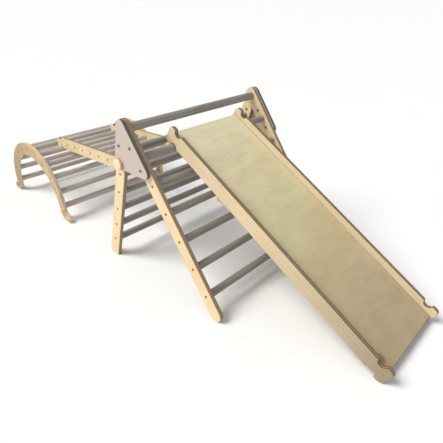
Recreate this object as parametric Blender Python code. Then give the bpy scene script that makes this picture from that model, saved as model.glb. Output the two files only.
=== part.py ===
"""Indoor climbing set: arch climber, bridge ladder, folding triangle and hook-on ramp.

World frame: +Z up, floor at Z = 0, X runs along the set (the ramp comes down
towards +X, the arch stands at -X), Y runs along the rungs, Y = 0 is the triangle's
mid-plane.  The outlines below take the axis of its top bar as X = 0.  Metres.
"""
import math
import bpy
import bmesh
from mathutils import Matrix, Vector

# ------------------------------------------------------------------ dimensions
W_OUT = 0.760          # outer width over the legs
PLY = 0.018            # legs, arch sides, rails, stringers
PLATE_T = 0.016        # painted triangular side plates
GAP = 0.0003           # gap left between touching pieces
R_RUNG = 0.016         # ladder and arch rungs
R_TOP = 0.0175         # top bar of the triangle
R_BRIDGE_RUNG = 0.014  # bridge rungs
SEG = 28               # sides on a rung

Y_OUT = W_OUT / 2
Y_IN = Y_OUT - PLY

# front ladder (leans back from the ramp side, seen from -Y)
Z_TOP = 0.6661
LEAN_F = math.radians(36.45)
LEG_W = 0.060
S_R1 = 0.1234          # top bar to first rung, along the leg
PITCH_F = 0.1176
N_FRONT = 6
LEG_TOP = -0.0095      # centre of the leg's rounded top end, along the leg
# rear ladder
PIVOT = (-0.02744, 0.59759)
LEAN_R = math.radians(17.91)
S_A = 0.0368
S_REAR1 = 0.1467
PITCH_R = 0.0956
N_REAR = 5
S_KNOB = 0.0775
KNOB_N = 0.0145        # off the leg's centre line, towards the front
KNOB_T = 0.0140         # from the leg's face to the knob's outer face
# plate bolts, along the front leg from the top bar
S_P1 = 0.0774
S_P2 = 0.1695
BOLT_R = 0.0040
BOLT_CLR = 0.0004
# arch climber
ARCH_X = -0.9880
ARCH_ZC = 0.062
ARCH_R = 0.309
ARCH_BAND = 0.070      # height of the band at the crown
ARCH_LEG = 0.052       # its width where it meets the feet
ARCH_W = 0.700         # outer width of the arch
SET_Y = -0.040         # the arch and the bridge stand this far off the triangle's middle
ARCH_RUNG_R = ARCH_R - ARCH_BAND / 2
ARCH_PITCH = math.radians(17.4)
N_ARCH = 11
# ramp
RAMP_W = 0.411
RAMP_Y = -0.004        # the ramp hangs this far off the triangle's middle
RAIL_H = 0.0646
RAIL_N0 = 0.003
BITE_R = 0.018
RAMP_SPAN = 1.094      # notch to notch
BOARD_T = 0.012
BOARD_TOP = 0.038
BOARD_END = 0.042
# bridge
BRIDGE_W = 0.375
N_BRIDGE = 9
BRIDGE_MARGIN = 0.072
FLARE = math.radians(28)

# ------------------------------------------------------------------ clean start
for o in list(bpy.data.objects):
    bpy.data.objects.remove(o, do_unlink=True)


# ------------------------------------------------------------------ materials
def material(name, rgb, rough=0.6, metal=0.0):
    m = bpy.data.materials.new(name)
    m.use_nodes = True
    b = m.node_tree.nodes["Principled BSDF"]
    b.inputs["Base Color"].default_value = (*rgb, 1)
    b.inputs["Roughness"].default_value = rough
    b.inputs["Metallic"].default_value = metal
    m.diffuse_color = (*rgb, 1)
    return m


BIRCH = (0.83, 0.68, 0.45)
BIRCH_TAN = (0.70, 0.51, 0.32)
BOARD = (0.60, 0.53, 0.37)
STAIN = (0.34, 0.30, 0.26)
MAUVE = (0.66, 0.54, 0.48)
STEEL = (0.30, 0.30, 0.31)


# ------------------------------------------------------------------ helpers
def finish(bm, name, rgb, rough=0.6, metal=0.0, smooth=False):
    bmesh.ops.recalc_face_normals(bm, faces=bm.faces[:])
    me = bpy.data.meshes.new(name)
    bm.to_mesh(me)
    bm.free()
    me.materials.append(material("m_" + name, rgb, rough, metal))
    ob = bpy.data.objects.new(name, me)
    bpy.context.scene.collection.objects.link(ob)
    if smooth:
        me.shade_smooth()
        me.set_sharp_from_angle(angle=math.radians(35))
    return ob


def prism_bm(pts, y0, y1):
    """Closed prism: outline in (x, z), swept from y0 to y1."""
    bm = bmesh.new()
    vs = [bm.verts.new((x, y0, z)) for x, z in pts]
    f = bm.faces.new(vs)
    r = bmesh.ops.extrude_face_region(bm, geom=[f])
    up = [v for v in r["geom"] if isinstance(v, bmesh.types.BMVert)]
    bmesh.ops.translate(bm, verts=up, vec=(0, y1 - y0, 0))
    return bm


def rod_bm(c, r, y0, y1, seg=SEG):
    bm = bmesh.new()
    m = Matrix.Translation((c[0], (y0 + y1) / 2, c[1])) @ Matrix.Rotation(math.radians(90), 4, "X")
    bmesh.ops.create_cone(bm, cap_ends=True, segments=seg, radius1=r, radius2=r,
                          depth=abs(y1 - y0), matrix=m)
    return bm


def lathe_bm(c, profile, seg=20):
    """Turned piece about a Y axis through (x, z) = c; profile of (radius, y)."""
    bm = bmesh.new()
    vs = [bm.verts.new((c[0] + r, y, c[1])) for r, y in profile]
    es = [bm.edges.new((a, b)) for a, b in zip(vs, vs[1:])]
    bmesh.ops.spin(bm, geom=vs + es, cent=(c[0], 0, c[1]), axis=(0, 1, 0),
                   angle=2 * math.pi, steps=seg, use_duplicate=False)
    bmesh.ops.remove_doubles(bm, verts=bm.verts[:], dist=1e-6)
    return bm


def drill(ob, holes, y0, y1, seg=16):
    """Through holes along Y, cut with an exact boolean and then applied."""
    for k, (x, z, r) in enumerate(holes):
        cut = finish(rod_bm((x, z), r, y0, y1, seg), "cut_tmp", STEEL)
        md = ob.modifiers.new("hole%d" % k, "BOOLEAN")
        md.operation = "DIFFERENCE"
        md.solver = "EXACT"
        md.object = cut
        bpy.context.view_layer.update()
        dg = bpy.context.evaluated_depsgraph_get()
        me = bpy.data.meshes.new_from_object(ob.evaluated_get(dg))
        ob.modifiers.clear()
        old = ob.data
        me.name = old.name
        ob.data = me
        bpy.data.meshes.remove(old)
        bpy.data.objects.remove(cut, do_unlink=True)


def round_poly(corners, seg=6):
    """Outline with each corner (x, z, radius) rounded by an arc."""
    out = []
    n = len(corners)
    for i, (x, z, r) in enumerate(corners):
        p = Vector((x, z))
        if r <= 0:
            out.append((x, z))
            continue
        a = Vector(corners[i - 1][:2]) - p
        b = Vector(corners[(i + 1) % n][:2]) - p
        a.normalize()
        b.normalize()
        half = math.acos(max(-1, min(1, a.dot(b)))) / 2
        t = r / math.tan(half)
        p0, p1 = p + a * t, p + b * t
        c = p + (a + b).normalized() * (r / math.sin(half))
        a0 = math.atan2(p0.y - c.y, p0.x - c.x)
        a1 = math.atan2(p1.y - c.y, p1.x - c.x)
        d = (a1 - a0 + math.pi) % (2 * math.pi) - math.pi
        for k in range(seg + 1):
            t_ = a0 + d * k / seg
            out.append((c.x + r * math.cos(t_), c.y + r * math.sin(t_)))
    return out


def arc(c, r, a0, a1, seg):
    return [(c[0] + r * math.cos(a0 + (a1 - a0) * k / seg),
             c[1] + r * math.sin(a0 + (a1 - a0) * k / seg)) for k in range(seg + 1)]


def dedupe(pts, eps=2e-5):
    out = []
    for p in pts:
        if not out or math.hypot(p[0] - out[-1][0], p[1] - out[-1][1]) > eps:
            out.append(p)
    if math.hypot(out[0][0] - out[-1][0], out[0][1] - out[-1][1]) <= eps:
        out.pop()
    return out


# ------------------------------------------------------------------ derived lines
UF = (math.sin(LEAN_F), -math.cos(LEAN_F))       # down the front leg
NF = (math.cos(LEAN_F), math.sin(LEAN_F))        # out of its front edge
UR = (-math.sin(LEAN_R), -math.cos(LEAN_R))      # down the rear leg
ER = (math.cos(LEAN_R), -math.sin(LEAN_R))       # towards the front ladder


def on_front(s, n=0.0):
    return (UF[0] * s + NF[0] * n, Z_TOP + UF[1] * s + NF[1] * n)


def on_rear(s, n=0.0):
    return (PIVOT[0] + UR[0] * s + ER[0] * n, PIVOT[1] + UR[1] * s + ER[1] * n)


R1 = on_front(S_R1)
REAR2 = on_rear(S_REAR1 + PITCH_R)


def arch_at(k):
    """Rung k = 0..N-1, from the far left foot round to the right foot."""
    a = (k - (N_ARCH - 1) / 2) * ARCH_PITCH
    return (ARCH_X + ARCH_RUNG_R * math.sin(a), ARCH_ZC + ARCH_RUNG_R * math.cos(a))


ARCH_HOOK = arch_at(N_ARCH // 2 + 1)


# ------------------------------------------------------------------ outlines
def front_leg_outline():
    h = LEG_W / 2
    s_end = (Z_TOP - h) / math.cos(LEAN_F)
    top, bot = on_front(LEG_TOP), on_front(s_end)
    a = math.atan2(NF[1], NF[0])
    return dedupe(arc(top, h, a, a + math.pi, 14) + arc(bot, h, a + math.pi, a + 2 * math.pi, 14))


def rear_leg_outline():
    h = LEG_W / 2
    d = (PIVOT[0] * NF[0] + (PIVOT[1] - Z_TOP) * NF[1])
    rho = -d - h - 0.0008                       # just clear of the front leg's edge
    a_e = math.atan2(ER[1], ER[0])
    a0 = a_e + math.acos(h / rho)
    a1 = math.atan2(NF[1], NF[0])
    pts = arc(PIVOT, rho, a0, a1, 6)
    # chamfer lying along the front leg, then over the top to the rear edge
    top = (PIVOT[0] + NF[0] * rho - UF[0] * 0.027, PIVOT[1] + NF[1] * rho - UF[1] * 0.027)
    pts += [top, (PIVOT[0] - 0.0098, PIVOT[1] + 0.0385)]
    left = on_rear(-0.016, -h)
    pts += [left]
    # foot, cut level with the floor
    def floor_at(n):
        s = (PIVOT[1] + ER[1] * n) / math.cos(LEAN_R)
        return s
    sl, sr = floor_at(-h), floor_at(h)
    bl = on_rear(sl, -h)
    br = on_rear(sr, h)
    foot = round_poly([(*left, 0), (*bl, 0.017), (*br, 0.008), (*pts[0], 0)], 5)
    return dedupe(pts + foot[1:-1])


def plate_outline():
    zb = 0.4978
    off = 0.0320
    def front_x(z):
        return (off - (z - Z_TOP) * NF[1]) / NF[0]
    za = 0.7380
    return dedupe(round_poly([(front_x(za), za, 0.027), (-0.0783, zb, 0.022), (front_x(zb), zb, 0.024)], 8))


def arch_outline():
    half = []
    r, zc = ARCH_R, ARCH_ZC
    n = 22
    outer = [(r * math.sin(math.pi / 2 * k / n), zc + r * math.cos(math.pi / 2 * k / n)) for k in range(n + 1)]
    foot = round_poly([(r, 0.080, 0), (r + 0.0005, 0.055, 0.005), (r + 0.046, 0.024, 0.010), (r + 0.044, 0.0, 0.008),
                       (r - 0.018, 0.0, 0.010), (r - 0.051, 0.034, 0.014), (r - ARCH_LEG, 0.080, 0)], 4)
    rx, rz = r - ARCH_LEG, r - ARCH_BAND
    inner = [(rx * math.cos(math.pi / 2 * k / n), zc + rz * math.sin(math.pi / 2 * k / n)) for k in range(n + 1)]
    right = outer + foot[1:-1] + inner[0:]
    left = [(-x, z) for x, z in reversed(right[1:-1])]
    return dedupe([(ARCH_X + x, z) for x, z in right + left])


def arch_hole_outline(side):
    """Oval hand-hole in a foot, leaning with the band."""
    cx, cz, ln, r = ARCH_R - 0.0115, 0.036, 0.022, 0.0110
    t = math.radians(42)
    ax, az = -math.sin(t), math.cos(t)
    p = []
    a = math.atan2(az, ax)
    p += arc((cx + ax * ln / 2, cz + az * ln / 2), r, a - math.pi / 2, a + math.pi / 2, 8)
    p += arc((cx - ax * ln / 2, cz - az * ln / 2), r, a + math.pi / 2, a + 3 * math.pi / 2, 8)
    p = [(side * x, z) for x, z in p]
    return dedupe([(ARCH_X + x, z) for x, z in p])


def paw_outline(span, flare, lobe, low, high, r_low, r_high):
    """Rail with a notched paw at both ends, in (s, n): notch centres at (0, 0) and (span, 0)."""
    c = RAIL_N0 + RAIL_H / 2
    rb = BITE_R
    def left_end():
        # going round the left end from the bottom edge (right to left) to the top edge
        pts = []
        if flare > 0:
            dx, dn = math.cos(flare), -math.sin(flare)
            tx, tn = -dn * rb, dx * rb            # tangent point on the notch circle
            k = (tn - RAIL_N0) / (-dn) * dx
            pts.append((tx + k, RAIL_N0))
            a = math.atan2(tn, tx)
            pts += arc((0, 0), rb, a, math.pi - a, 10)
            k2 = (tn - low) / (-dn) * dx
            pts.append((-(tx + k2), low))
            lo_in = []
        else:
            a = math.asin(RAIL_N0 / rb)
            pts += arc((0, 0), rb, a, math.pi, 12)
            lo_in = [(-rb, low, 0.003)]
        corners = lo_in + [(-lobe, low, r_low), (-lobe, high, r_high)]
        # upper notch, mirrored about the mid-line; the paw's top may stop below its centre
        n2 = 2 * c
        a_in = math.pi + math.asin(max(0.0, n2 - high) / rb)
        mouth = rb * math.cos(a_in)
        top_in = [(mouth * 1.02, high, 0.003), (mouth * 1.02, c, 0)] if high > n2 else [(mouth, high, 0)]
        rp = round_poly([(pts[-1][0], pts[-1][1], 0)] + corners + top_in, 6)
        pts += rp[1:-1]
        a = math.asin(min(1, (n2 - (RAIL_N0 + RAIL_H)) / rb))
        pts += arc((0, n2), rb, a_in, 2 * math.pi - a, 12)
        return pts
    le = left_end()
    ri = [(span - s, n) for s, n in reversed(le)]
    return dedupe(le + ri)


def place(pts, origin, slope):
    """(s, n) to (x, z): s runs down the slope from origin."""
    cs, sn = math.cos(slope), math.sin(slope)
    return [(origin[0] + s * cs + n * sn, origin[1] - s * sn + n * cs) for s, n in pts]


RAIL_PTS = paw_outline(RAMP_SPAN, 0.0, 0.052, -0.0030, 0.0735, 0.017, 0.017)
STRINGER_SPAN = math.hypot(REAR2[0] - ARCH_HOOK[0], REAR2[1] - ARCH_HOOK[1])
STRINGER_SLOPE = -math.atan2(REAR2[1] - ARCH_HOOK[1], REAR2[0] - ARCH_HOOK[0])
STRINGER_PTS = paw_outline(STRINGER_SPAN, FLARE, 0.044, 0.0020, 0.0600, 0.008, 0.014)


def ramp_slope():
    """Slope at which the lower paws just rest on the floor with the upper notches round the first rung."""
    lo, hi = math.radians(20), math.radians(40)
    for _ in range(60):
        mid = (lo + hi) / 2
        if min(z for _, z in place(RAIL_PTS, R1, mid)) > 0.0:
            lo = mid
        else:
            hi = mid
    return lo


SLOPE = ramp_slope()


def bolt_profile(y_out, y_in, sgn):
    """Domed head outside, shank, low cap inside; sgn is the outward direction."""
    o, i = y_out + sgn * GAP, y_in - sgn * GAP
    return [(0, o + sgn * 0.0034), (0.0030, o + sgn * 0.0032), (0.0058, o + sgn * 0.0022), (0.0072, o + sgn * 0.0006),
            (0.0072, o), (BOLT_R, o), (BOLT_R, i), (0.0068, i), (0.0068, i - sgn * 0.0012),
            (0.0052, i - sgn * 0.0024), (0, i - sgn * 0.0026)]


# ------------------------------------------------------------------ build
SIDES = (("near", -1), ("far", 1))

for tag, sg in SIDES:
    yo, yi = sg * Y_OUT, sg * Y_IN
    yp0, yp1 = yo + sg * GAP, yo + sg * (GAP + PLATE_T)
    p1, p2 = on_front(S_P1), on_front(S_P2)
    kn = on_rear(S_KNOB, KNOB_N)
    # front leg
    ob = finish(prism_bm(front_leg_outline(), min(yo, yi), max(yo, yi)), "front_leg_" + tag, BIRCH)
    drill(ob, [(p1[0], p1[1], BOLT_R + BOLT_CLR), (p2[0], p2[1], BOLT_R + BOLT_CLR)], min(yo, yi) - 0.01, max(yo, yi) + 0.01)
    # side plate
    ob = finish(prism_bm(plate_outline(), min(yp0, yp1), max(yp0, yp1)), "side_plate_" + tag, MAUVE, 0.5)
    drill(ob, [(p1[0], p1[1], BOLT_R + BOLT_CLR), (p2[0], p2[1], BOLT_R + BOLT_CLR),
               (PIVOT[0], PIVOT[1], BOLT_R + BOLT_CLR), (kn[0], kn[1], 0.0054)],
          min(yp0, yp1) - 0.01, max(yp0, yp1) + 0.01)
    # rear leg
    ob = finish(prism_bm(rear_leg_outline(), min(yo, yi), max(yo, yi)), "rear_leg_" + tag, BIRCH)
    drill(ob, [(PIVOT[0], PIVOT[1], BOLT_R + BOLT_CLR)], min(yo, yi) - 0.01, max(yo, yi) + 0.01)
    # bolts
    finish(lathe_bm(p1, bolt_profile(yp1, yi, sg)), "plate_bolt_upper_" + tag, STEEL, 0.35, 0.9, True)
    finish(lathe_bm(p2, bolt_profile(yp1, yi, sg)), "plate_bolt_lower_" + tag, STEEL, 0.35, 0.9, True)
    finish(lathe_bm(PIVOT, bolt_profile(yp1, yi, sg)), "pivot_bolt_" + tag, STEEL, 0.35, 0.9, True)
    # clamping knob with its stud
    a, b = yp1 + sg * GAP, yp1 + sg * KNOB_T
    prof = [(0, b), (0.0205, b), (0.0232, b - sg * 0.0012), (0.0245, b - sg * 0.0040), (0.0245, a + sg * 0.0040),
            (0.0232, a + sg * 0.0010), (0.0215, a), (0.0048, a), (0.0048, yo + sg * 0.0006), (0, yo + sg * 0.0006)]
    finish(lathe_bm(kn, prof, 32), "clamp_knob_" + tag, BIRCH, 0.5, 0.0, True)

L = Y_IN - GAP
finish(rod_bm(on_front(0), R_TOP, -L, L, 32), "top_bar", STAIN, 0.45, 0, True)
for k in range(N_FRONT):
    finish(rod_bm(on_front(S_R1 + PITCH_F * k), R_RUNG, -L, L), "front_rung_%d" % (k + 1), STAIN, 0.45, 0, True)
finish(rod_bm(on_rear(S_A), R_RUNG, -L, L), "rear_rung_1", STAIN, 0.45, 0, True)
for k in range(N_REAR):
    finish(rod_bm(on_rear(S_REAR1 + PITCH_R * k), R_RUNG, -L, L), "rear_rung_%d" % (k + 2), STAIN, 0.45, 0, True)

# arch climber
for tag, sg in SIDES:
    yo, yi = SET_Y + sg * ARCH_W / 2, SET_Y + sg * (ARCH_W / 2 - PLY)
    ob = finish(prism_bm(arch_outline(), min(yo, yi), max(yo, yi)), "arch_side_" + tag, BIRCH_TAN)
    for side in (-1, 1):
        cut = finish(prism_bm(arch_hole_outline(side), min(yo, yi) - 0.01, max(yo, yi) + 0.01), "cut_tmp", STEEL)
        md = ob.modifiers.new("hand_hole", "BOOLEAN")
        md.operation = "DIFFERENCE"
        md.solver = "EXACT"
        md.object = cut
        bpy.context.view_layer.update()
        dg = bpy.context.evaluated_depsgraph_get()
        me = bpy.data.meshes.new_from_object(ob.evaluated_get(dg))
        ob.modifiers.clear()
        old = ob.data
        ob.data = me
        bpy.data.meshes.remove(old)
        bpy.data.objects.remove(cut, do_unlink=True)
AL = ARCH_W / 2 - PLY - GAP
for k in range(N_ARCH):
    finish(rod_bm(arch_at(k), R_RUNG, SET_Y - AL, SET_Y + AL), "arch_rung_%d" % (k + 1), STAIN, 0.45, 0, True)

# bridge ladder
BY = BRIDGE_W / 2
for tag, sg in SIDES:
    y0, y1 = sorted((SET_Y + sg * BY, SET_Y + sg * (BY - PLY)))
    finish(prism_bm(place(STRINGER_PTS, ARCH_HOOK, STRINGER_SLOPE), y0, y1), "bridge_stringer_" + tag, BIRCH)
bl = BY - PLY - GAP
for k in range(N_BRIDGE):
    s = BRIDGE_MARGIN + (STRINGER_SPAN - 2 * BRIDGE_MARGIN) * k / (N_BRIDGE - 1)
    c = place([(s, RAIL_N0 + RAIL_H / 2)], ARCH_HOOK, STRINGER_SLOPE)[0]
    finish(rod_bm(c, R_BRIDGE_RUNG, SET_Y - bl, SET_Y + bl), "bridge_rung_%d" % (k + 1), STAIN, 0.45, 0, True)

# ramp
RY = RAMP_W / 2
for tag, sg in SIDES:
    y0, y1 = sorted((RAMP_Y + sg * RY, RAMP_Y + sg * (RY - PLY)))
    finish(prism_bm(place(RAIL_PTS, R1, SLOPE), y0, y1), "ramp_rail_" + tag, BIRCH)
by = RY - PLY - GAP
bd = [(-BOARD_END, BOARD_TOP - BOARD_T), (RAMP_SPAN + BOARD_END, BOARD_TOP - BOARD_T),
      (RAMP_SPAN + BOARD_END, BOARD_TOP), (-BOARD_END, BOARD_TOP)]
finish(prism_bm(place(bd, R1, SLOPE), RAMP_Y - by, RAMP_Y + by), "ramp_board", BOARD, 0.5)


# put the world origin on the floor under the middle of the whole set, and each
# moving piece's own origin on the axis it turns about
lo = min(v.co.x for o in bpy.data.objects for v in o.data.vertices)
hi = max(v.co.x for o in bpy.data.objects for v in o.data.vertices)
SHIFT = -(lo + hi) / 2
AXES = {"rear_leg": PIVOT, "rear_rung": PIVOT, "clamp_knob": on_rear(S_KNOB, KNOB_N), "ramp_": R1,
        "bridge_": ARCH_HOOK, "arch_": (ARCH_X, 0.0)}
for o in list(bpy.data.objects):
    at = next((p for k, p in AXES.items() if o.name.startswith(k)), (0.0, 0.0))
    o.data.transform(Matrix.Translation((-at[0], 0, -at[1])))
    o.location = (at[0] + SHIFT, 0, at[1])
bpy.context.view_layer.update()
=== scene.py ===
"""Looks of the indoor climbing set: birch ply triangle, ramp, bridge and arch with stained rungs."""
import math

import bmesh
import bpy
from mathutils import Matrix, Vector
from mathutils.geometry import tessellate_polygon


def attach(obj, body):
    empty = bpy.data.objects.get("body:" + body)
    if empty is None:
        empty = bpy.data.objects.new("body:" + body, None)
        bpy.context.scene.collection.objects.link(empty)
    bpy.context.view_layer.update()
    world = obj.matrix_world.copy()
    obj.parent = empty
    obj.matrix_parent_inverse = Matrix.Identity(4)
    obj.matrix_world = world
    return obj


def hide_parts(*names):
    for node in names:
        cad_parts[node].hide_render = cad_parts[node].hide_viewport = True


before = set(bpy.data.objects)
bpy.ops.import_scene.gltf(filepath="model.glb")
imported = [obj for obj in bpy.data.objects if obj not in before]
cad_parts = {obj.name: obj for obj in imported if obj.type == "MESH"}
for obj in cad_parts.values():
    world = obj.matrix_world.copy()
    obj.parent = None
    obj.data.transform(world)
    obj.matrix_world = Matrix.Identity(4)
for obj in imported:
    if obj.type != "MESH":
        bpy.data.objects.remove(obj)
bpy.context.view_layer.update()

# ------------------------------------------------------------------ the CAD's driving dimensions
W_OUT, PLY, PLATE_T, GAP = 0.760, 0.018, 0.016, 0.0003
R_RUNG, R_TOP, R_BRIDGE_RUNG = 0.016, 0.0175, 0.014
Y_OUT = W_OUT / 2
Y_IN = Y_OUT - PLY
Z_TOP, LEAN_F, LEG_W = 0.6661, math.radians(36.45), 0.060
S_R1, PITCH_F, N_FRONT, LEG_TOP = 0.1234, 0.1176, 6, -0.0095
PIVOT, LEAN_R = (-0.02744, 0.59759), math.radians(17.91)
S_A, S_REAR1, PITCH_R, N_REAR, S_KNOB, KNOB_N, KNOB_T = 0.0368, 0.1467, 0.0956, 5, 0.0775, 0.0145, 0.0140
S_P1, S_P2, BOLT_R = 0.0774, 0.1695, 0.0040
ARCH_X, ARCH_ZC, ARCH_R, ARCH_BAND, ARCH_W, SET_Y = -0.9880, 0.062, 0.309, 0.070, 0.700, -0.040
ARCH_LEG = 0.052
ARCH_RUNG_R, ARCH_PITCH, N_ARCH = ARCH_R - ARCH_BAND / 2, math.radians(17.4), 11
RAMP_W, RAMP_Y, RAIL_H, RAIL_N0, BITE_R, RAMP_SPAN = 0.411, -0.004, 0.0646, 0.003, 0.018, 1.094
BOARD_T, BOARD_TOP, BOARD_END = 0.012, 0.038, 0.042
BRIDGE_W, N_BRIDGE, BRIDGE_MARGIN, FLARE = 0.375, 9, 0.072, math.radians(28)
SHIFT = 0.12244266271591187

UF = (math.sin(LEAN_F), -math.cos(LEAN_F))
NF = (math.cos(LEAN_F), math.sin(LEAN_F))
UR = (-math.sin(LEAN_R), -math.cos(LEAN_R))
ER = (math.cos(LEAN_R), -math.sin(LEAN_R))


def on_front(s, n=0.0):
    return (UF[0] * s + NF[0] * n, Z_TOP + UF[1] * s + NF[1] * n)


def on_rear(s, n=0.0):
    return (PIVOT[0] + UR[0] * s + ER[0] * n, PIVOT[1] + UR[1] * s + ER[1] * n)


R1 = on_front(S_R1)
REAR2 = on_rear(S_REAR1 + PITCH_R)


def arch_at(k):
    a = (k - (N_ARCH - 1) / 2) * ARCH_PITCH
    return (ARCH_X + ARCH_RUNG_R * math.sin(a), ARCH_ZC + ARCH_RUNG_R * math.cos(a))


ARCH_HOOK = arch_at(N_ARCH // 2 + 1)


# ------------------------------------------------------------------ outlines, finer than the CAD's
def round_poly(corners, seg=8):
    out = []
    n = len(corners)
    for i, (x, z, r) in enumerate(corners):
        p = Vector((x, z))
        if r <= 0:
            out.append((x, z))
            continue
        a = Vector(corners[i - 1][:2]) - p
        b = Vector(corners[(i + 1) % n][:2]) - p
        a.normalize()
        b.normalize()
        half = math.acos(max(-1, min(1, a.dot(b)))) / 2
        t = r / math.tan(half)
        p0, p1 = p + a * t, p + b * t
        c = p + (a + b).normalized() * (r / math.sin(half))
        a0 = math.atan2(p0.y - c.y, p0.x - c.x)
        a1 = math.atan2(p1.y - c.y, p1.x - c.x)
        d = (a1 - a0 + math.pi) % (2 * math.pi) - math.pi
        for k in range(seg + 1):
            t_ = a0 + d * k / seg
            out.append((c.x + r * math.cos(t_), c.y + r * math.sin(t_)))
    return out


def arc(c, r, a0, a1, seg):
    return [(c[0] + r * math.cos(a0 + (a1 - a0) * k / seg),
             c[1] + r * math.sin(a0 + (a1 - a0) * k / seg)) for k in range(seg + 1)]


def dedupe(pts, eps=1.2e-4):
    out = []
    for p in pts:
        if not out or math.hypot(p[0] - out[-1][0], p[1] - out[-1][1]) > eps:
            out.append(p)
    while math.hypot(out[0][0] - out[-1][0], out[0][1] - out[-1][1]) <= eps:
        out.pop()
    return out


def front_leg_outline():
    h = LEG_W / 2
    s_end = (Z_TOP - h) / math.cos(LEAN_F)
    top, bot = on_front(LEG_TOP), on_front(s_end)
    a = math.atan2(NF[1], NF[0])
    return dedupe(arc(top, h, a, a + math.pi, 30) + arc(bot, h, a + math.pi, a + 2 * math.pi, 30))


def rear_leg_outline():
    h = LEG_W / 2
    d = (PIVOT[0] * NF[0] + (PIVOT[1] - Z_TOP) * NF[1])
    rho = -d - h - 0.0008
    a_e = math.atan2(ER[1], ER[0])
    a0 = a_e + math.acos(h / rho)
    a1 = math.atan2(NF[1], NF[0])
    pts = arc(PIVOT, rho, a0, a1, 14)
    top = (PIVOT[0] + NF[0] * rho - UF[0] * 0.027, PIVOT[1] + NF[1] * rho - UF[1] * 0.027)
    crown = (PIVOT[0] - 0.0098, PIVOT[1] + 0.0385)
    left = on_rear(-0.016, -h)

    def floor_at(n):
        return (PIVOT[1] + ER[1] * n) / math.cos(LEAN_R)
    sl, sr = floor_at(-h), floor_at(h)
    bl = on_rear(sl, -h)
    br = on_rear(sr, h)
    p0 = pts[-1]
    corners = [(p0[0], p0[1], 0), (top[0], top[1], 0.010), (crown[0], crown[1], 0.012), (left[0], left[1], 0.030),
               (*bl, 0.017), (*br, 0.008), (pts[0][0], pts[0][1], 0)]
    rp = round_poly(corners, 8)
    return dedupe(pts + rp[1:-1])


def plate_outline():
    zb = 0.4978
    off = 0.0320

    def front_x(z):
        return (off - (z - Z_TOP) * NF[1]) / NF[0]
    za = 0.7380
    return dedupe(round_poly([(front_x(za), za, 0.027), (-0.0783, zb, 0.022), (front_x(zb), zb, 0.024)], 18))


def arch_outline():
    r, zc = ARCH_R, ARCH_ZC
    n = 44
    outer = [(r * math.sin(math.pi / 2 * k / n), zc + r * math.cos(math.pi / 2 * k / n)) for k in range(n + 1)]
    foot = round_poly([(r, 0.080, 0), (r + 0.0005, 0.055, 0.005), (r + 0.046, 0.024, 0.010), (r + 0.044, 0.0, 0.008),
                       (r - 0.018, 0.0, 0.010), (r - 0.051, 0.034, 0.014), (r - ARCH_LEG, 0.080, 0)], 8)
    rx, rz = r - ARCH_LEG, r - ARCH_BAND
    inner = [(rx * math.cos(math.pi / 2 * k / n), zc + rz * math.sin(math.pi / 2 * k / n)) for k in range(n + 1)]
    right = outer + foot[1:-1] + inner[0:]
    left = [(-x, z) for x, z in reversed(right[1:-1])]
    return dedupe([(ARCH_X + x, z) for x, z in right + left])


def arch_hole_outline(side):
    cx, cz, ln, r = ARCH_R - 0.0115, 0.036, 0.022, 0.0110
    t = math.radians(42)
    ax, az = -math.sin(t), math.cos(t)
    a = math.atan2(az, ax)
    p = arc((cx + ax * ln / 2, cz + az * ln / 2), r, a - math.pi / 2, a + math.pi / 2, 14)
    p += arc((cx - ax * ln / 2, cz - az * ln / 2), r, a + math.pi / 2, a + 3 * math.pi / 2, 14)
    return dedupe([(ARCH_X + side * x, z) for x, z in p])


def paw_outline(span, flare, lobe, low, high, r_low, r_high):
    c = RAIL_N0 + RAIL_H / 2
    rb = BITE_R
    pts = []
    if flare > 0:
        dx, dn = math.cos(flare), -math.sin(flare)
        tx, tn = -dn * rb, dx * rb
        k = (tn - RAIL_N0) / (-dn) * dx
        pts.append((tx + k, RAIL_N0))
        a = math.atan2(tn, tx)
        pts += arc((0, 0), rb, a, math.pi - a, 16)
        k2 = (tn - low) / (-dn) * dx
        pts.append((-(tx + k2), low))
        lo_in = []
    else:
        a = math.asin(RAIL_N0 / rb)
        pts += arc((0, 0), rb, a, math.pi, 22)
        lo_in = [(-rb, low, 0.003)]
    corners = lo_in + [(-lobe, low, r_low), (-lobe, high, r_high)]
    n2 = 2 * c
    a_in = math.pi + math.asin(max(0.0, n2 - high) / rb)
    mouth = rb * math.cos(a_in)
    top_in = [(mouth * 1.02, high, 0.003), (mouth * 1.02, c, 0)] if high > n2 else [(mouth, high, 0)]
    rp = round_poly([(pts[-1][0], pts[-1][1], 0)] + corners + top_in, 10)
    pts += rp[1:-1]
    a = math.asin(min(1, (n2 - (RAIL_N0 + RAIL_H)) / rb))
    pts += arc((0, n2), rb, a_in, 2 * math.pi - a, 22)
    return dedupe(pts + [(span - s, n) for s, n in reversed(pts)])


def place(pts, origin, slope):
    cs, sn = math.cos(slope), math.sin(slope)
    return [(origin[0] + s * cs + n * sn, origin[1] - s * sn + n * cs) for s, n in pts]


RAIL_PTS = paw_outline(RAMP_SPAN, 0.0, 0.052, -0.0030, 0.0735, 0.017, 0.017)
STRINGER_SPAN = math.hypot(REAR2[0] - ARCH_HOOK[0], REAR2[1] - ARCH_HOOK[1])
STRINGER_SLOPE = -math.atan2(REAR2[1] - ARCH_HOOK[1], REAR2[0] - ARCH_HOOK[0])
STRINGER_PTS = paw_outline(STRINGER_SPAN, FLARE, 0.044, 0.0020, 0.0600, 0.008, 0.014)


def ramp_slope():
    lo, hi = math.radians(20), math.radians(40)
    for _ in range(60):
        mid = (lo + hi) / 2
        if min(z for _, z in place(RAIL_PTS, R1, mid)) > 0.0:
            lo = mid
        else:
            hi = mid
    return lo


SLOPE = ramp_slope()


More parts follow.
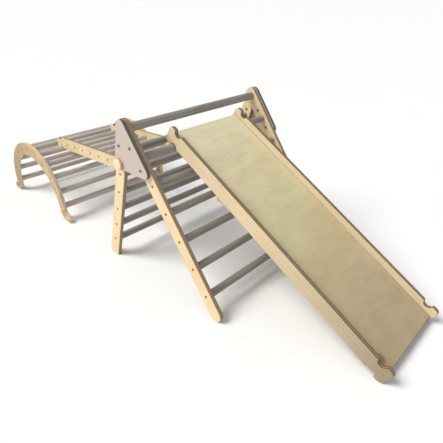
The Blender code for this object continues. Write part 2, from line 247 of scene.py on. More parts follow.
# ------------------------------------------------------------------ materials
class Tree:
    """A small helper that adds nodes and wires them."""

    def __init__(self, name, rough, **fixed):
        self.m = bpy.data.materials.new(name)
        self.m.use_nodes = True
        self.nt = self.m.node_tree
        self.b = self.nt.nodes["Principled BSDF"]
        self.b.inputs["Roughness"].default_value = rough
        for k, v in fixed.items():
            self.b.inputs[k].default_value = v
        tc = self.nt.nodes.new("ShaderNodeTexCoord")
        self.obj, self.nrm = tc.outputs["Object"], tc.outputs["Normal"]

    def wire(self, sock, v):
        if isinstance(v, bpy.types.NodeSocket):
            self.nt.links.new(v, sock)
        elif isinstance(v, tuple) and len(v) == 3 and len(sock.default_value) == 4:
            sock.default_value = (*v, 1)
        else:
            sock.default_value = v

    def scale(self, v, s, loc=(0, 0, 0)):
        n = self.nt.nodes.new("ShaderNodeMapping")
        self.wire(n.inputs["Vector"], v)
        n.inputs["Scale"].default_value = s
        n.inputs["Location"].default_value = loc
        return n.outputs[0]

    def noise(self, v, scale, detail=3.0, rough=0.5, distort=0.0):
        n = self.nt.nodes.new("ShaderNodeTexNoise")
        self.wire(n.inputs["Vector"], v)
        n.inputs["Scale"].default_value = scale
        n.inputs["Detail"].default_value = detail
        n.inputs["Roughness"].default_value = rough
        n.inputs["Distortion"].default_value = distort
        return n.outputs["Fac"]

    def wave(self, v, scale, distort, detail=2.0, dscale=1.0, axis="Z", rough=0.5):
        n = self.nt.nodes.new("ShaderNodeTexWave")
        n.wave_type = "BANDS"
        n.bands_direction = axis
        n.wave_profile = "SIN"
        self.wire(n.inputs["Vector"], v)
        n.inputs["Scale"].default_value = scale
        n.inputs["Distortion"].default_value = distort
        n.inputs["Detail"].default_value = detail
        n.inputs["Detail Scale"].default_value = dscale
        n.inputs["Detail Roughness"].default_value = rough
        return n.outputs["Fac"]

    def math(self, op, a, b=0.0, clamp=False):
        n = self.nt.nodes.new("ShaderNodeMath")
        n.operation = op
        n.use_clamp = clamp
        self.wire(n.inputs[0], a)
        self.wire(n.inputs[1], b)
        return n.outputs[0]

    def remap(self, v, a, b, c=0.0, d=1.0, smooth=False):
        n = self.nt.nodes.new("ShaderNodeMapRange")
        n.interpolation_type = "SMOOTHSTEP" if smooth else "LINEAR"
        self.wire(n.inputs["Value"], v)
        for k, x in zip(("From Min", "From Max", "To Min", "To Max"), (a, b, c, d)):
            n.inputs[k].default_value = x
        return n.outputs["Result"]

    def mix(self, f, a, b, kind="MIX"):
        n = self.nt.nodes.new("ShaderNodeMix")
        n.data_type = "RGBA"
        n.blend_type = kind
        self.wire(n.inputs["Factor"], f)
        self.wire(n.inputs["A"], a) if False else self.wire(n.inputs[6], a)
        self.wire(n.inputs[7], b)
        return n.outputs[2]

    def ramp(self, v, stops):
        n = self.nt.nodes.new("ShaderNodeValToRGB")
        self.wire(n.inputs["Fac"], v)
        e = n.color_ramp.elements
        while len(e) > 1:
            e.remove(e[-1])
        e[0].position, e[0].color = stops[0][0], (*stops[0][1], 1)
        for p, c in stops[1:]:
            k = e.new(p)
            k.color = (*c, 1)
        return n.outputs["Color"]

    def split(self, v):
        n = self.nt.nodes.new("ShaderNodeSeparateXYZ")
        self.wire(n.inputs[0], v)
        return n.outputs

    def bump(self, height, strength, dist):
        n = self.nt.nodes.new("ShaderNodeBump")
        n.inputs["Strength"].default_value = strength
        n.inputs["Distance"].default_value = dist
        self.wire(n.inputs["Height"], height)
        self.nt.links.new(n.outputs[0], self.b.inputs["Normal"])

    def color(self, v):
        self.wire(self.b.inputs["Base Color"], v)

    def rough(self, v):
        self.wire(self.b.inputs["Roughness"], v)


def mul(c, k):
    return tuple(x * k for x in c)


def edge_mask(t):
    """1 on the cut edges of a board whose plies are stacked along local Y, 0 on its faces."""
    y = t.split(t.nrm)[1]
    return t.remap(t.math("ABSOLUTE", y), 0.80, 0.62, 0.0, 1.0)


def lamination(t, thick, plies, light, dark, glue):
    """Colour of the cut edge: alternating plies with thin glue lines."""
    y = t.split(t.obj)[1]
    wob = t.noise(t.scale(t.obj, (14, 14, 14)), 1.0, 2.0)
    yy = t.math("ADD", y, t.remap(wob, 0.3, 0.7, -0.00012, 0.00012))
    f = t.math("FRACT", t.math("DIVIDE", t.math("ADD", yy, thick / 2 + 10 * thick), 2 * thick / plies))
    bands = t.ramp(f, [(0.0, glue), (0.035, light), (0.45, mul(light, 0.95)), (0.5, glue), (0.54, dark),
                       (0.95, mul(dark, 0.92)), (1.0, glue)])
    grain = t.noise(t.scale(t.obj, (160, 700, 160)), 1.0, 3.0, 0.6)
    bands = t.mix(0.30, bands, t.ramp(grain, [(0.3, mul(dark, 0.8)), (0.7, light)]))
    voids = t.remap(t.noise(t.scale(t.obj, (45, 420, 45)), 1.0, 1.0), 0.73, 0.76)
    return t.mix(voids, bands, mul(glue, 0.6))


def birch(name, face, edge_light, edge_dark, glue, thick=PLY, plies=13, rough=0.5, figure=1.0, along=1.0,
          veneer_bands_and_shade=False, mottle=0.0, painted_shade_ramp=()):
    """Oiled birch ply: long pale grain on the faces, stripes of plies on the cut edges."""
    t = Tree(name, rough)
    long_v = t.scale(t.obj, (2.2 * along, 26, 26))
    fine = t.noise(long_v, 4.0, 8.0, 0.62, 0.25)
    broad = t.noise(t.scale(t.obj, (2.6, 3.0, 7.0)), 1.0, 3.0, 0.5, 0.6)
    rings = t.wave(t.scale(t.obj, (0.9 * along, 7, 7)), 2.6, 7.0, 3.0, 0.7, "Z", 0.55)
    fleck = t.noise(t.scale(t.obj, (55, 900, 900)), 1.0, 1.0, 0.4)
    col = t.ramp(fine, [(0.28, mul(face, 0.86)), (0.50, face), (0.74, mul(face, 1.05))])
    warm = (face[0] * 0.93, face[1] * 0.86, face[2] * 0.74)
    col = t.mix(t.remap(broad, 0.38, 0.72, 0.0, 0.55), col, warm)
    col = t.mix(t.remap(rings, 0.60, 0.98, 0.0, 0.26 * figure), col, mul(warm, 0.80))
    col = t.mix(t.remap(fleck, 0.66, 0.74, 0.0, 0.45), col, mul(warm, 0.60))
    if painted_shade_ramp:
        # painted shade: darker towards one end of the piece, as the light falls off along it
        x = t.remap(t.split(t.obj)[0], painted_shade_ramp[0][0], painted_shade_ramp[-1][0], 0.0, 1.0)
        span = painted_shade_ramp[-1][0] - painted_shade_ramp[0][0]
        shade_multiply = t.ramp(x, [((a - painted_shade_ramp[0][0]) / span, (k, k * 0.99, k * 0.97)) for a, k in painted_shade_ramp])
        col = t.mix(1.0, col, shade_multiply, "MULTIPLY")
    if mottle:
        cloud = t.noise(t.scale(t.obj, (24, 24, 30)), 1.0, 4.0, 0.65, 1.4)
        col = t.mix(t.remap(cloud, 0.44, 0.60, 0.0, mottle), col, mul(warm, 0.62))
    m = edge_mask(t)
    lam = lamination(t, thick, plies, edge_light, edge_dark, glue)
    if veneer_bands_and_shade:
        # darker bands on either side of a paler core: partly the veneers a wide sheet shows, partly painted shade of
        # the gap along the board
        off = t.math("ABSOLUTE", t.split(t.obj)[1])
        core = t.remap(off, 0.0022, 0.0036, 1.0, 0.0, True)
        skin = t.remap(off, 0.0066, 0.0078, 0.0, 1.0, True)
        lam = t.mix(t.math("SUBTRACT", 1.0, t.math("MAXIMUM", core, skin)), lam, mul(edge_dark, 0.55))
    t.color(t.mix(m, col, lam))
    t.rough(t.remap(t.math("ADD", fine, t.math("MULTIPLY", m, 0.25)), 0.3, 1.0, rough - 0.07, rough + 0.18))
    h = t.math("ADD", t.math("MULTIPLY", fine, 0.6), t.math("MULTIPLY", rings, 0.25))
    t.bump(h, 0.25, 0.0004)
    return t.m


def stained(name, base, light, dark, rough=0.42):
    """Turned beech stained grey-taupe: long streaks along the rung, with paler blotches."""
    t = Tree(name, rough)
    fine = t.noise(t.scale(t.obj, (150, 5.0, 150)), 1.0, 6.0, 0.62, 0.3)
    mid = t.noise(t.scale(t.obj, (46, 1.4, 46)), 1.0, 3.0, 0.5, 0.4)
    blot = t.noise(t.scale(t.obj, (7, 3.2, 7)), 1.0, 2.0, 0.5)
    pores = t.noise(t.scale(t.obj, (1100, 85, 1100)), 1.0, 1.0, 0.4)
    col = t.ramp(fine, [(0.25, dark), (0.5, base), (0.78, light)])
    col = t.mix(t.remap(mid, 0.35, 0.70, 0.0, 0.55), col, mul(base, 0.78))
    col = t.mix(t.remap(blot, 0.40, 0.75, 0.0, 0.40), col, light)
    col = t.mix(t.remap(pores, 0.64, 0.72, 0.0, 0.45), col, mul(dark, 0.7))
    t.color(col)
    t.rough(t.remap(t.math("ADD", fine, mid), 0.6, 1.4, rough - 0.06, rough + 0.14))
    t.bump(t.math("ADD", fine, t.math("MULTIPLY", pores, 0.3)), 0.35, 0.0003)
    return t.m


def painted(name, face, edge_light, edge_dark, glue, thick, plies):
    """Satin paint on the faces, dark oiled plies on the cut edges."""
    t = Tree(name, 0.42)
    peel = t.noise(t.obj, 210.0, 3.0, 0.5)
    tone = t.noise(t.obj, 9.0, 2.0, 0.5)
    grain = t.noise(t.scale(t.obj, (9, 60, 90)), 1.0, 5.0, 0.6)
    col = t.mix(t.remap(tone, 0.35, 0.7, 0.0, 0.5), face, mul(face, 0.93))
    col = t.mix(t.remap(grain, 0.42, 0.75, 0.0, 0.25), col, mul(face, 0.90))
    m = edge_mask(t)
    lam = lamination(t, thick, plies, edge_light, edge_dark, glue)
    t.color(t.mix(m, col, lam))
    t.rough(t.remap(t.math("ADD", peel, t.math("MULTIPLY", m, 0.5)), 0.3, 1.2, 0.36, 0.62))
    t.bump(t.math("ADD", t.math("MULTIPLY", peel, 0.5), t.math("MULTIPLY", grain, 0.5)), 0.18, 0.0003)
    return t.m


def board_ply(name, face, thick, plies):
    """The slide's board: varnished birch face with a soft curly figure, painted shade deepening towards the foot, and a
    dark patch in the near lower corner.
    """
    t = Tree(name, 0.36)
    warp = t.noise(t.scale(t.obj, (5.0, 1, 5.0)), 1.0, 3.0, 0.55, 0.6)
    bend = t.noise(t.scale(t.obj, (3.2, 1, 3.2)), 1.0, 2.0, 0.5, 0.8)
    curl = t.noise(t.scale(t.obj, (11, 1, 5.0)), 1.0, 5.0, 0.62, 1.6)
    curl2 = t.noise(t.scale(t.obj, (26, 1, 12)), 1.0, 4.0, 0.60, 1.3)
    fine = t.noise(t.scale(t.obj, (38, 10, 6.0)), 1.0, 7.0, 0.62, 0.5)
    broad = t.noise(t.scale(t.obj, (2.2, 1, 4.0)), 1.0, 3.0, 0.5, 0.9)
    warm = (face[0] * 0.95, face[1] * 0.89, face[2] * 0.77)
    pale = (min(1, face[0] * 1.07), min(1, face[1] * 1.09), min(1, face[2] * 1.10))
    col = t.ramp(fine, [(0.28, mul(face, 0.92)), (0.5, face), (0.75, pale)])
    col = t.mix(t.remap(broad, 0.36, 0.70, 0.0, 0.50), col, warm)
    col = t.mix(t.remap(curl, 0.45, 0.64, 0.0, 0.36, True), col, mul(warm, 0.86))
    col = t.mix(t.remap(curl2, 0.48, 0.68, 0.0, 0.20, True), col, mul(face, 0.86))
    col = t.mix(t.remap(warp, 0.54, 0.72, 0.0, 0.35), col, pale)
    col = t.mix(t.remap(bend, 0.55, 0.8, 0.0, 0.25), col, pale)
    # painted shade that deepens towards the foot, and a dark patch in the near lower corner
    x = t.split(t.obj)[0]
    z = t.split(t.obj)[2]
    painted_shade_ramp = t.ramp(x, [(0.0, (0.991, 1.0, 0.982)), (0.25, (0.902, 0.875, 0.812)), (0.5, (0.812, 0.784, 0.705)),
                      (0.8, (0.705, 0.638, 0.580)), (1.0, (0.596, 0.533, 0.465))])
    col = t.mix(1.0, col, painted_shade_ramp, "MULTIPLY")
    dx = t.math("SUBTRACT", x, RAMP_SPAN - 0.006)
    dz = t.math("SUBTRACT", z, RAMP_W / 2 - PLY - 0.029)
    r2 = t.math("ADD", t.math("MULTIPLY", dx, dx), t.math("MULTIPLY", t.math("MULTIPLY", dz, dz), 2.5))
    spot = t.remap(t.math("ADD", t.math("SQRT", r2), t.math("MULTIPLY", fine, 0.018)), 0.014, 0.036, 0.70, 0.0, True)
    col = t.mix(spot, col, (0.16, 0.10, 0.052))
    # the cut edge and its rounded-over top bevel are coloured near black: partly the ply edge, partly painted shadow
    # along the board's end
    m = t.remap(t.math("ABSOLUTE", t.split(t.nrm)[1]), 0.975, 0.88, 0.0, 1.0)
    lam = lamination(t, thick, plies, (0.070, 0.055, 0.040), (0.034, 0.027, 0.020), (0.018, 0.014, 0.011))
    t.color(t.mix(m, col, lam))
    t.rough(t.remap(t.math("ADD", fine, broad), 0.6, 1.4, 0.30, 0.50))
    t.bump(t.math("ADD", t.math("MULTIPLY", fine, 0.6), t.math("MULTIPLY", curl, 0.4)), 0.14, 0.0004)
    return t.m


def turned_wood(name, face):
    """Turned birch, sanded smooth: end grain rings on the face, fine lathe lines, and painted shade darkening the
    curved edge.
    """
    t = Tree(name, 0.46)
    fine = t.noise(t.scale(t.obj, (16, 90, 60)), 1.0, 6.0, 0.6, 0.4)
    rings = t.wave(t.scale(t.obj, (6, 20, 14)), 3.0, 3.0, 2.0, 0.8, "Z")
    col = t.ramp(fine, [(0.3, mul(face, 0.86)), (0.55, face), (0.8, mul(face, 1.06))])
    col = t.mix(t.remap(rings, 0.55, 1.0, 0.0, 0.30), col, (face[0] * 0.86, face[1] * 0.76, face[2] * 0.62))
    # painted shade: the curved edge of the knob is coloured darker
    rim_shade = t.remap(t.math("ABSOLUTE", t.split(t.nrm)[1]), 0.92, 0.35, 0.0, 0.75)
    col = t.mix(rim_shade, col, (face[0] * 0.58, face[1] * 0.50, face[2] * 0.40))
    t.color(col)
    t.rough(t.remap(fine, 0.3, 0.8, 0.40, 0.58))
    t.bump(fine, 0.2, 0.0003)
    return t.m


def steel(name, col, rough=0.30):
    """Zinc-plated steel, slightly smoked and rubbed."""
    t = Tree(name, rough, Metallic=1.0)
    n = t.noise(t.obj, 240.0, 4.0, 0.6)
    s = t.noise(t.scale(t.obj, (900, 60, 900)), 1.0, 2.0)
    t.color(t.ramp(n, [(0.3, mul(col, 0.6)), (0.6, col), (0.85, mul(col, 1.25))]))
    t.rough(t.remap(s, 0.3, 0.8, rough - 0.08, rough + 0.18))
    t.bump(n, 0.2, 0.0001)
    return t.m


EDGE_L, EDGE_D, GLUE = (0.44, 0.325, 0.185), (0.20, 0.140, 0.075), (0.060, 0.042, 0.026)
M_LEG = birch("birch_leg", (0.76, 0.60, 0.36), EDGE_L, EDGE_D, GLUE)
M_RAIL = birch("birch_rail", (0.70, 0.585, 0.395), EDGE_L, EDGE_D, GLUE, veneer_bands_and_shade=True)
# the near rail's own copy of the rail birch, with painted shade darkening it towards the foot
M_RAIL_NEAR_SHADED = birch("birch_rail_near_painted_shade", (0.70, 0.585, 0.395), EDGE_L, EDGE_D, GLUE, veneer_bands_and_shade=True,
                    painted_shade_ramp=((0.0, 1.0), (0.45, 0.97), (0.70, 0.82), (0.95, 0.61), (1.12, 0.44)))
# the arch gets painted shade darkening it towards its -X end, and pale cut-edge colours: partly the pale ply edge,
# partly painted light so the shaded edges and hole walls read bright
M_ARCH = birch("birch_arch", (0.64, 0.455, 0.245), (0.80, 0.66, 0.44), (0.58, 0.44, 0.26), (0.20, 0.14, 0.085), mottle=0.85,
               painted_shade_ramp=((-0.36, 0.52), (-0.1, 0.70), (0.15, 0.90), (0.36, 1.0)))
M_STRINGER = birch("birch_stringer", (0.76, 0.61, 0.38), EDGE_L, EDGE_D, GLUE, mottle=0.35)
M_BOARD = board_ply("varnished_board", (0.712, 0.647, 0.449), BOARD_T, 9)
M_RUNG = stained("stained_rung", (0.255, 0.235, 0.208), (0.365, 0.340, 0.306), (0.140, 0.126, 0.110), 0.34)
# a paler copy of the rung stain for the arch and bridge rungs: painted light, as if lit more strongly
M_RUNG_LIT = stained("stained_rung_painted_lit", (0.51, 0.45, 0.40), (0.66, 0.60, 0.54), (0.30, 0.262, 0.232))
M_PLATE = painted("mauve_paint", (0.520, 0.425, 0.368), (0.185, 0.155, 0.135), (0.085, 0.072, 0.063),
                  (0.035, 0.030, 0.028), PLATE_T, 11)
M_KNOB = turned_wood("turned_birch", (0.82, 0.64, 0.40))
M_STEEL = steel("smoked_steel", (0.055, 0.055, 0.062), 0.34)
M_ZINC = steel("zinc_steel", (0.27, 0.265, 0.26), 0.30)


# ------------------------------------------------------------------ mesh helpers
def area2(pts):
    return sum(a[0] * b[1] - b[0] * a[1] for a, b in zip(pts, pts[1:] + pts[:1]))


def inset(pts, d):
    """Moves a counter-clockwise outline inwards by d, with mitred corners."""
    n = len(pts)
    out = []
    for i in range(n):
        a, b, c = Vector(pts[i - 1]), Vector(pts[i]), Vector(pts[(i + 1) % n])
        u, v = (b - a).normalized(), (c - b).normalized()
        nu, nv = Vector((-u.y, u.x)), Vector((-v.y, v.x))
        m = nu + nv
        k = m.dot(nu)
        m = m / k if k > 0.2 else nu
        out.append(tuple(b + m * d))
    return out


def frame_of(origin, direction):
    """Local frame in the XZ plane: local X along direction, local Y = world Y."""
    dx, dz = direction
    return Matrix(((dx, 0, -dz, origin[0] + SHIFT), (0, 1, 0, 0), (dz, 0, dx, origin[1]), (0, 0, 0, 1)))


def to_local(pts, origin, direction):
    dx, dz = direction
    return [((x - origin[0]) * dx + (z - origin[1]) * dz, -(x - origin[0]) * dz + (z - origin[1]) * dx) for x, z in pts]


def ring(bm, pts, y):
    return [bm.verts.new((x, y, z)) for x, z in pts]


def bridge(bm, a, b):
    n = len(a)
    for i in range(n):
        j = (i + 1) % n
        bm.faces.new((a[i], a[j], b[j], b[i]))


def emit(bm, name, mats, matrix=None, smooth=True, weighted=True, angle=38):
    bmesh.ops.recalc_face_normals(bm, faces=bm.faces[:])
    me = bpy.data.meshes.new(name)
    bm.to_mesh(me)
    bm.free()
    for m in mats if isinstance(mats, (list, tuple)) else [mats]:
        me.materials.append(m)
    ob = bpy.data.objects.new(name, me)
    bpy.context.scene.collection.objects.link(ob)
    if matrix is not None:
        ob.matrix_world = matrix
    if smooth:
        me.shade_smooth()
        me.set_sharp_from_angle(angle=math.radians(angle))
        if weighted:
            w = ob.modifiers.new("soft_edges", "WEIGHTED_NORMAL")
            w.mode = "FACE_AREA"
            w.weight = 50
            w.keep_sharp = True
    return ob


def ply_piece(name, outline, thick, bevel, mat, matrix, through=(), pockets=(), seg=3, hole_bevel=0.0008):
    """A board cut from ply: its outline lies in local XZ, its plies are stacked along local Y.

    through: outlines of holes that run right through.  pockets: (x, z, radius, depth, side).
    """
    bm = bmesh.new()
    if area2(outline) < 0:
        outline = outline[::-1]
    h = thick / 2
    steps = [math.pi / 2 * k / seg for k in range(seg + 1)]
    profile = [(bevel * (1 - math.sin(a)), bevel * (1 - math.cos(a))) for a in steps]
    low = [ring(bm, inset(outline, i), -h + d) for i, d in profile]
    high = [ring(bm, inset(outline, i), h - d) for i, d in reversed(profile)]
    chain = low + high
    for a, b in zip(chain, chain[1:]):
        bridge(bm, a, b)
    loops = {-1: [low[0]], 1: [high[-1]]}
    for pts in through:
        if area2(pts) < 0:
            pts = pts[::-1]
        lo_r = [ring(bm, inset(pts, -i), -h + d) for i, d in
                [(hole_bevel * (1 - math.sin(a)), hole_bevel * (1 - math.cos(a))) for a in steps]]
        hi_r = [ring(bm, inset(pts, -i), h - d) for i, d in
                [(hole_bevel * (1 - math.sin(a)), hole_bevel * (1 - math.cos(a))) for a in reversed(steps)]]
        ch = lo_r + hi_r
        for a, b in zip(ch, ch[1:]):
            bridge(bm, b, a)
        loops[-1].append(lo_r[0])
        loops[1].append(hi_r[-1])
    for x, z, r, depth, side in pockets:
        n = 20
        circ = [(math.cos(2 * math.pi * k / n), math.sin(2 * math.pi * k / n)) for k in range(n)]
        r0 = ring(bm, [(x + c * (r + 0.0005), z + s * (r + 0.0005)) for c, s in circ], side * h)
        r1 = ring(bm, [(x + c * r, z + s * r) for c, s in circ], side * (h - 0.0004))
        r2 = ring(bm, [(x + c * r, z + s * r) for c, s in circ], side * (h - depth))
        bridge(bm, r0, r1)
        bridge(bm, r1, r2)
        bm.faces.new(r2)
        loops[side].append(r0)
    for side in (-1, 1):
        flat = [v for lp in loops[side] for v in lp]
        polys = [[Vector((v.co.x, v.co.z, 0)) for v in lp] for lp in loops[side]]
        for tri in tessellate_polygon(polys):
            vs = [flat[i] for i in tri]
            if len(set(vs)) == 3:
                try:
                    bm.faces.new(vs)
                except ValueError:
                    pass
    return emit(bm, name, mat, matrix)


def wobble(i, y, amp):
    return amp * (math.sin(11.0 * y + 1.7 * i) * 0.5 + math.sin(27.0 * y + 2.9 * i) * 0.3 + math.sin(61.0 * y + i) * 0.2)


def rung(name, c, r, half, mat, i, mid=0.0, seg=48, rings=22):
    """Turned rung: eased ends, and the slight unevenness of a sanded dowel."""
    bm = bmesh.new()
    e = 0.0012
    ys = [(-half, r - e), (-half + e * 0.35, r - e * 0.35), (-half + e, r)]
    for k in range(1, rings):
        y = -half + e + (2 * half - 2 * e) * k / rings
        ys.append((y, r - 0.00012 + wobble(i, y, 0.00012)))
    ys += [(half - e, r), (half - e * 0.35, r - e * 0.35), (half, r - e)]
    chain = []
    for y, rr in ys:
        chain.append(ring(bm, [(rr * math.cos(2 * math.pi * k / seg), rr * math.sin(2 * math.pi * k / seg))
                               for k in range(seg)], y))
    for a, b in zip(chain, chain[1:]):
        bridge(bm, a, b)
    bm.faces.new(chain[0])
    bm.faces.new(chain[-1])
    spin = Matrix.Rotation(0.7 * i, 4, "Y")
    return emit(bm, name, mat, Matrix.Translation((c[0] + SHIFT, mid, c[1])) @ spin, angle=50)


def lathe_rings(bm, c, profile, seg, mat_index=0):
    """Closed turned body about a Y axis through c; the profile runs from axis to axis."""
    chain = []
    for r, y in profile:
        if r <= 1e-7:
            chain.append([bm.verts.new((c[0], y, c[1]))])
        else:
            chain.append(ring(bm, [(c[0] + r * math.cos(2 * math.pi * k / seg), c[1] + r * math.sin(2 * math.pi * k / seg))
                                   for k in range(seg)], y))
    for a, b in zip(chain, chain[1:]):
        if len(a) == 1 and len(b) == 1:
            continue
        for i in range(seg):
            j = (i + 1) % seg
            if len(a) == 1:
                f = bm.faces.new((a[0], b[j], b[i]))
            elif len(b) == 1:
                f = bm.faces.new((a[i], a[j], b[0]))
            else:
                f = bm.faces.new((a[i], a[j], b[j], b[i]))
            f.material_index = mat_index


def hexagon(c, rad, seg=24):
    pts = []
    for k in range(seg):
        a = 2 * math.pi * k / seg
        q = (a % (math.pi / 3)) - math.pi / 6
        d = rad * math.cos(math.pi / 6) / math.cos(q)
        pts.append((c[0] + d * math.cos(a), c[1] + d * math.sin(a)))
    return pts


def socket_head(bm, c, y, sgn, rad, dome, tail, tail_r):
    """Button head with a hexagon socket at y, facing sgn, on a shank that ends at y - sgn * tail."""
    n = 24

    def circ(r):
        return [(c[0] + r * math.cos(2 * math.pi * k / n), c[1] + r * math.sin(2 * math.pi * k / n)) for k in range(n)]
    s = sgn
    chain = [ring(bm, circ(tail_r), y - s * tail), ring(bm, circ(tail_r), y), ring(bm, circ(rad), y),
             ring(bm, circ(rad), y + s * dome * 0.22), ring(bm, circ(rad * 0.93), y + s * dome * 0.52),
             ring(bm, circ(rad * 0.80), y + s * dome * 0.82), ring(bm, circ(rad * 0.62), y + s * dome),
             ring(bm, hexagon(c, rad * 0.50), y + s * dome), ring(bm, hexagon(c, rad * 0.46), y + s * (dome - 0.0003)),
             ring(bm, hexagon(c, rad * 0.46), y + s * dome * 0.18)]
    for a, b in zip(chain, chain[1:]):
        bridge(bm, a, b)
    bm.faces.new(chain[0])
    bm.faces.new(chain[-1])


def done(ob, body, slot_name, *nodes):
    if nodes:
        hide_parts(*nodes)
    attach(ob, body)
    return ob


# ------------------------------------------------------------------ triangle
SIDES = (("near", -1), ("far", 1))
EASE = 0.0022


def leg(name, outline, origin, direction, sg, screws, mat, body, node, slot_name="birch_ply", screw_mat=None):
    """A leg with the pockets that its rung screws sit in."""
    loc = to_local(outline, origin, direction)
    pk = []
    for p in screws:
        q = to_local([p], origin, direction)[0]
        pk.append((q[0], q[1], 0.0054, 0.0036, sg))
    mx = frame_of(origin, direction) @ Matrix.Translation((0, sg * (Y_OUT - PLY / 2), 0))
    ob = ply_piece(name, loc, PLY, EASE, mat, mx, (), pk)
    return done(ob, body, slot_name, node)


def screw_set(name, points, y_face, sg, body, depth=0.0032, rad=0.0046):
    bm = bmesh.new()
    for x, z in points:
        socket_head(bm, (x + SHIFT, z), y_face - sg * depth, sg, rad, 0.0019, 0.00015, rad * 0.98)
    ob = emit(bm, name, M_STEEL, weighted=False, angle=32)
    return done(ob, body, "steel")


FRONT_PTS = [on_front(S_R1 + PITCH_F * k) for k in range(N_FRONT)]
REAR_PTS = [on_rear(S_A)] + [on_rear(S_REAR1 + PITCH_R * k) for k in range(N_REAR)]

for tag, sg in SIDES:
    yo = sg * Y_OUT
    yp = yo + sg * (GAP + PLATE_T)
    leg("leg_front_" + tag, front_leg_outline(), on_front(0), UF, sg, FRONT_PTS[1:], M_LEG, "front_frame",
        "front_leg_" + tag)
    leg("leg_rear_" + tag, rear_leg_outline(), PIVOT, UR, sg, REAR_PTS[1:], M_LEG, "rear_ladder", "rear_leg_" + tag)
    screw_set("screws_front_" + tag, FRONT_PTS[1:], yo, sg, "front_frame")
    screw_set("screws_rear_" + tag, REAR_PTS[1:], yo, sg, "rear_ladder")
    # painted side plate
    d = (0.0, 1.0)
    org = (-0.01, 0.60)
    mx = frame_of(org, d) @ Matrix.Translation((0, yo + sg * (GAP + PLATE_T / 2), 0))
    ob = ply_piece("plate_" + tag, to_local(plate_outline(), org, d), PLATE_T, 0.0022, M_PLATE, mx)
    done(ob, "front_frame", "mauve_paint", "side_plate_" + tag)
    # through bolts: button head outside, flanged nut inside
    for nm, p, node in (("bolt_upper_", on_front(S_P1), "plate_bolt_upper_"), ("bolt_lower_", on_front(S_P2), "plate_bolt_lower_"),
                        ("bolt_pivot_", PIVOT, "pivot_bolt_")):
        bm = bmesh.new()
        q = (p[0] + SHIFT, p[1])
        socket_head(bm, q, yp + sg * GAP, sg, 0.0068, 0.0030, 0.0002, 0.0066)
        yi = sg * Y_IN - sg * GAP
        lathe_rings(bm, q, [(0, yi), (0.0066, yi), (0.0066, yi - sg * 0.0009), (0.0060, yi - sg * 0.0016),
                            (0.0042, yi - sg * 0.0023), (0, yi - sg * 0.0026)], 24)
        ob = emit(bm, nm + tag, M_ZINC, weighted=False, angle=32)
        done(ob, "front_frame", "steel", node + tag)
    # knob
    kn = on_rear(S_KNOB, KNOB_N)
    a, b = yp + sg * GAP, yp + sg * KNOB_T
    bm = bmesh.new()
    prof = [(0, b), (0.0120, b), (0.0185, b - sg * 0.0003), (0.0212, b - sg * 0.0010), (0.0231, b - sg * 0.0022),
            (0.0242, b - sg * 0.0038), (0.0245, b - sg * 0.0054), (0.0245, a + sg * 0.0050), (0.0242, a + sg * 0.0034),
            (0.0232, a + sg * 0.0018), (0.0216, a + sg * 0.0004), (0.0205, a), (0.0048, a)]
    prof += [(0, a)]
    lathe_rings(bm, (0, 0), prof, 64)
    mk = Matrix.Translation((kn[0] + SHIFT, 0, kn[1]))
    ob = emit(bm, "knob_" + tag, M_KNOB, mk, weighted=False, angle=40)
    done(ob, "knob_" + tag, "turned_wood", "clamp_knob_" + tag)
    bm = bmesh.new()
    lathe_rings(bm, (0, 0), [(0, a - sg * 0.0002), (0.0044, a - sg * 0.0002), (0.0044, yo + sg * 0.0012),
                             (0.0038, yo + sg * 0.0006), (0, yo + sg * 0.0006)], 20)
    ob = emit(bm, "knob_stud_" + tag, M_STEEL, mk, weighted=False)
    done(ob, "knob_" + tag, "steel")

L = Y_IN - GAP
done(rung("bar_top", on_front(0), R_TOP, L, M_RUNG, 0), "front_frame", "stained_wood", "top_bar")
for k in range(N_FRONT):
    done(rung("rung_front_%d" % (k + 1), FRONT_PTS[k], R_RUNG, L, M_RUNG, k + 1), "front_frame", "stained_wood",
         "front_rung_%d" % (k + 1))
for k in range(N_REAR + 1):
    done(rung("rung_rear_%d" % (k + 1), REAR_PTS[k], R_RUNG, L, M_RUNG, k + 8), "rear_ladder", "stained_wood",
         "rear_rung_%d" % (k + 1))

# ------------------------------------------------------------------ arch
ARCH_PTS = [arch_at(k) for k in range(N_ARCH)]
for tag, sg in SIDES:
    org, d = (ARCH_X, 0.0), (1.0, 0.0)
    mx = frame_of(org, d) @ Matrix.Translation((0, SET_Y + sg * (ARCH_W / 2 - PLY / 2), 0))
    holes = [to_local(arch_hole_outline(s), org, d) for s in (-1, 1)]
    pk = [(*to_local([p], org, d)[0], 0.0054, 0.0036, sg) for p in ARCH_PTS]
    ob = ply_piece("arch_" + tag, to_local(arch_outline(), org, d), PLY, 0.0028, M_ARCH, mx, holes, pk, hole_bevel=0.0022)
    done(ob, "arch", "arch_ply", "arch_side_" + tag)
    screw_set("screws_arch_" + tag, ARCH_PTS, SET_Y + sg * ARCH_W / 2, sg, "arch")
for k in range(N_ARCH):
    done(rung("rung_arch_%d" % (k + 1), ARCH_PTS[k], R_RUNG, ARCH_W / 2 - PLY - GAP, M_RUNG_LIT, k + 15, SET_Y), "arch", "stained_wood",
         "arch_rung_%d" % (k + 1))

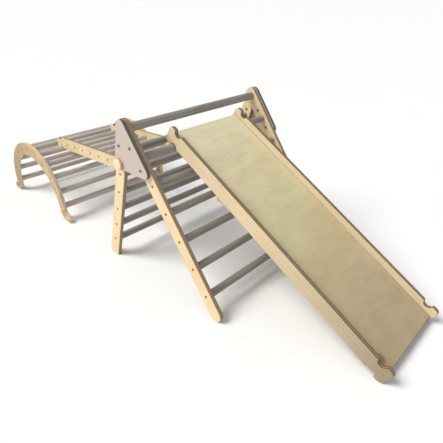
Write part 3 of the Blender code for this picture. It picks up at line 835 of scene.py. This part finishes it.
# ------------------------------------------------------------------ bridge
BY = BRIDGE_W / 2
bd = (math.cos(STRINGER_SLOPE), -math.sin(STRINGER_SLOPE))
BRIDGE_S = [BRIDGE_MARGIN + (STRINGER_SPAN - 2 * BRIDGE_MARGIN) * k / (N_BRIDGE - 1) for k in range(N_BRIDGE)]
MID = RAIL_N0 + RAIL_H / 2
for tag, sg in SIDES:
    mx = frame_of(ARCH_HOOK, bd) @ Matrix.Translation((0, SET_Y + sg * (BY - PLY / 2), 0))
    pk = [(s, MID, 0.0054, 0.0036, sg) for s in BRIDGE_S]
    ob = ply_piece("stringer_" + tag, STRINGER_PTS, PLY, 0.0022, M_STRINGER, mx, (), pk)
    done(ob, "bridge", "birch_ply", "bridge_stringer_" + tag)
    screw_set("screws_bridge_" + tag, [place([(s, MID)], ARCH_HOOK, STRINGER_SLOPE)[0] for s in BRIDGE_S], SET_Y + sg * BY, sg,
              "bridge")
bl = BY - PLY - GAP
for k in range(N_BRIDGE):
    c = place([(BRIDGE_S[k], MID)], ARCH_HOOK, STRINGER_SLOPE)[0]
    done(rung("rung_bridge_%d" % (k + 1), c, R_BRIDGE_RUNG, bl, M_RUNG_LIT, k + 27, SET_Y), "bridge", "stained_wood",
         "bridge_rung_%d" % (k + 1))

# ------------------------------------------------------------------ ramp
RY = RAMP_W / 2
rd = (math.cos(SLOPE), -math.sin(SLOPE))
for tag, sg in SIDES:
    mx = frame_of(R1, rd) @ Matrix.Translation((0, RAMP_Y + sg * (RY - PLY / 2), 0))
    ob = ply_piece("rail_" + tag, RAIL_PTS, PLY, 0.0020, M_RAIL_NEAR_SHADED if sg < 0 else M_RAIL, mx)
    done(ob, "ramp", "birch_ply", "ramp_rail_" + tag)
by = RY - PLY - GAP
# the board lies in the ramp's plane: local X down the slope, local Y out of it
cs, sn = rd[0], -rd[1]
mid_n = BOARD_TOP - BOARD_T / 2
o = place([(0.0, mid_n)], R1, SLOPE)[0]
bmx = Matrix(((cs, sn, 0, o[0] + SHIFT), (0, 0, -1, RAMP_Y), (-sn, cs, 0, o[1]), (0, 0, 0, 1)))
outline = round_poly([(-BOARD_END, -by, 0.004), (RAMP_SPAN + BOARD_END, -by, 0.004), (RAMP_SPAN + BOARD_END, by, 0.004),
                      (-BOARD_END, by, 0.004)], 6)
ob = ply_piece("slide_board", outline, BOARD_T, 0.0030, M_BOARD, bmx)
done(ob, "ramp", "board_ply", "ramp_board")

# ------------------------------------------------------------------ floor, light, camera
bm = bmesh.new()
vs = [bm.verts.new((x, y, -0.0002)) for x, y in ((-400, -400), (400, -400), (400, 400), (-400, 400))]
bm.faces.new(vs)
ft = Tree("pale_floor", 0.75)
ft.color(ft.mix(ft.noise(ft.obj, 1.3, 2.0), (0.80, 0.80, 0.80), (0.83, 0.83, 0.83)))
floor = emit(bm, "floor", ft.m, smooth=False)

sc = bpy.context.scene
sc.view_settings.view_transform = "Standard"
sc.view_settings.look = "None"
sc.view_settings.exposure = 0.0
w = bpy.data.worlds.new("studio")
sc.world = w
w.use_nodes = True
w.node_tree.nodes["Background"].inputs["Color"].default_value = (0.98, 0.99, 1.0, 1)
w.node_tree.nodes["Background"].inputs["Strength"].default_value = 0.42


def sun(name, pos, strength, angle, col=(1, 1, 1)):
    li = bpy.data.lights.new(name, "SUN")
    li.energy = strength
    li.angle = math.radians(angle)
    li.color = col
    ob = bpy.data.objects.new(name, li)
    sc.collection.objects.link(ob)
    ob.rotation_euler = Vector(pos).to_track_quat("Z", "Y").to_euler()
    return ob


sun("key", (-0.55, -0.80, 1.15), 3.2, 32, (1.0, 0.985, 0.96))
sun("fill", (0.9, -0.8, 1.2), 0.35, 60)

cam = bpy.data.cameras.new("camera")
cam.sensor_width = 36
cam.lens = 32.77
cam.shift_x = -0.00366
cam.shift_y = 0.00478
cam.clip_start, cam.clip_end = 0.05, 200
co = bpy.data.objects.new("camera", cam)
sc.collection.objects.link(co)
co.location = (1.41854, -1.20407, 1.12477)
co.rotation_euler = (math.radians(90 - 30.346), 0, math.radians(43.489))
sc.camera = co
